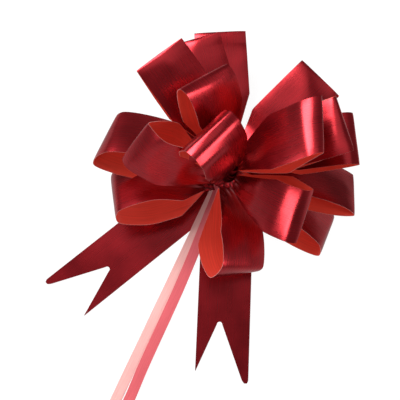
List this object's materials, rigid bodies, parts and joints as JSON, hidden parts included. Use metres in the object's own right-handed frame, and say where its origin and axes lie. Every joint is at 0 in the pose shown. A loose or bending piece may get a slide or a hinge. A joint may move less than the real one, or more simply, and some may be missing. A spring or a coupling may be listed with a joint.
{
  "type": "pre-made gift bow",
  "caption": "Pull bow for gift wrapping: a dome of film loops on a welded neck stack, with two swallow-cut tails and two pull ribbons.",
  "frame": {"origin": "centre of the neck stack's flat underside, on the surface the bow rests on", "axes": "+Z out of the dome, away from the surface; the pull ribbons leave towards -Y and the tails towards -X -Y and -Y"},
  "size_m": [0.1817, 0.3038, 0.0818],
  "materials": {
    "satin_film": "satin metallic",
    "pale_film": "satin",
    "salmon_film": "satin"
  },
  "bodies": {
    "stack": {"neck_stack": "satin_film"},
    "loop_01": {"loop_01": "satin_film"},
    "loop_02": {"loop_02": "satin_film"},
    "loop_03": {"loop_03": "satin_film"},
    "loop_04": {"loop_04": "satin_film"},
    "loop_05": {"loop_05": "satin_film"},
    "loop_06": {"loop_06": "satin_film"},
    "loop_07": {"loop_07": "satin_film"},
    "loop_08": {"loop_08": "satin_film"},
    "loop_09": {"loop_09": "satin_film"},
    "loop_10": {"loop_10": "satin_film"},
    "loop_11": {"loop_11": "satin_film"},
    "loop_12": {"loop_12": "satin_film"},
    "loop_13": {"loop_13": "satin_film"},
    "loop_14": {"loop_14": "satin_film"},
    "loop_15": {"loop_15": "satin_film"},
    "loop_16": {"loop_16": "satin_film"},
    "tail_left": {"tail_left": "satin_film"},
    "tail_right": {"tail_right": "satin_film"},
    "pull_ribbons": {"pull_ribbon_left": "pale_film", "pull_ribbon_right": "salmon_film", "ribbon_coil": "pale_film", "coil_tie": "salmon_film"}
  },
  "joints": [
    {"name": "loop_01_fluff", "type": "hinge", "parent": "stack", "child": "loop_01", "pos_m": [-0.01488, -0.01569, 0.01287], "axis": [-0.2065, 0.8455, -0.4924], "range_deg": [-3, 3], "stiffness_Nm_per_rad": 0.02},
    {"name": "loop_02_fluff", "type": "hinge", "parent": "stack", "child": "loop_02", "pos_m": [-0.00223, -0.01688, 0.01378], "axis": [-0.8985, -0.0729, 0.433], "range_deg": [-2, 8], "stiffness_Nm_per_rad": 0.02},
    {"name": "loop_03_fluff", "type": "hinge", "parent": "stack", "child": "loop_03", "pos_m": [0.00756, 0.00244, 0.0103], "axis": [0.6977, -0.7155, -0.0346], "range_deg": [-5, 3], "stiffness_Nm_per_rad": 0.02},
    {"name": "loop_04_fluff", "type": "hinge", "parent": "stack", "child": "loop_04", "pos_m": [-0.00126, 0.00597, 0.01252], "axis": [0.9986, 0.0523, 0], "range_deg": [-3, 2], "stiffness_Nm_per_rad": 0.02},
    {"name": "loop_05_fluff", "type": "hinge", "parent": "stack", "child": "loop_05", "pos_m": [0.00413, -0.00879, 0.01235], "axis": [-0.5132, -0.6985, 0.4988], "range_deg": [-3, 2], "stiffness_Nm_per_rad": 0.02},
    {"name": "loop_06_fluff", "type": "hinge", "parent": "stack", "child": "loop_06", "pos_m": [0.00482, -0.00329, 0.01785], "axis": [-0.2602, -0.8444, 0.4683], "range_deg": [-1, 2], "stiffness_Nm_per_rad": 0.02},
    {"name": "loop_07_fluff", "type": "hinge", "parent": "stack", "child": "loop_07", "pos_m": [-0.00142, 0.00366, 0.01912], "axis": [0.9563, 0.2924, 0], "range_deg": [-2, 3], "stiffness_Nm_per_rad": 0.02},
    {"name": "loop_08_fluff", "type": "hinge", "parent": "stack", "child": "loop_08", "pos_m": [0.00683, 0.00042, 0.02271], "axis": [0.0528, -0.9894, 0.135], "range_deg": [-3, 5], "stiffness_Nm_per_rad": 0.02},
    {"name": "loop_09_fluff", "type": "hinge", "parent": "stack", "child": "loop_09", "pos_m": [-0.00678, -0.00198, 0.01904], "axis": [0.1072, 0.9112, -0.3978], "range_deg": [-3, 3], "stiffness_Nm_per_rad": 0.02},
    {"name": "loop_10_fluff", "type": "hinge", "parent": "stack", "child": "loop_10", "pos_m": [-0.00279, 0.00257, 0.02511], "axis": [0.788, 0.6157, 0], "range_deg": [-3, 10], "stiffness_Nm_per_rad": 0.02},
    {"name": "loop_11_fluff", "type": "hinge", "parent": "stack", "child": "loop_11", "pos_m": [0.00428, -0.00232, 0.0285], "axis": [0.104, -0.9905, 0.0905], "range_deg": [-5, 2], "stiffness_Nm_per_rad": 0.02},
    {"name": "loop_12_fluff", "type": "hinge", "parent": "stack", "child": "loop_12", "pos_m": [-0.00881, -0.01398, 0.02908], "axis": [0.5215, 0.7568, 0.394], "range_deg": [-2, 3], "stiffness_Nm_per_rad": 0.02},
    {"name": "loop_13_fluff", "type": "hinge", "parent": "stack", "child": "loop_13", "pos_m": [-0.00199, -0.00294, 0.03183], "axis": [0.7931, 0.5594, -0.2408], "range_deg": [-10, 4], "stiffness_Nm_per_rad": 0.02},
    {"name": "loop_14_fluff", "type": "hinge", "parent": "stack", "child": "loop_14", "pos_m": [0.00335, -0.00835, 0.03766], "axis": [-0.0145, -0.9821, 0.188], "range_deg": [-2, 2], "stiffness_Nm_per_rad": 0.02},
    {"name": "loop_15_fluff", "type": "hinge", "parent": "stack", "child": "loop_15", "pos_m": [0.00255, -0.01648, 0.0275], "axis": [-0.2116, -0.8268, -0.5212], "range_deg": [-4, 12], "stiffness_Nm_per_rad": 0.02},
    {"name": "loop_16_fluff", "type": "hinge", "parent": "stack", "child": "loop_16", "pos_m": [-0.00373, -0.01583, 0.03681], "axis": [0.848, 0.5299, 0], "range_deg": [-3, 2], "stiffness_Nm_per_rad": 0.02},
    {"name": "tail_left_swing", "type": "hinge", "parent": "stack", "child": "tail_left", "pos_m": [0, 0, 0.002], "axis": [0, 0, 1], "range_deg": [-12, 6]},
    {"name": "tail_right_swing", "type": "hinge", "parent": "stack", "child": "tail_right", "pos_m": [0, 0, 0.002], "axis": [0, 0, 1], "range_deg": [-6, 12]},
    {"name": "pull_ribbons_draw", "type": "slide", "parent": "stack", "child": "pull_ribbons", "axis": [-0.4067, -0.9135, 0], "range_m": [0, 0.006]}
  ]
}
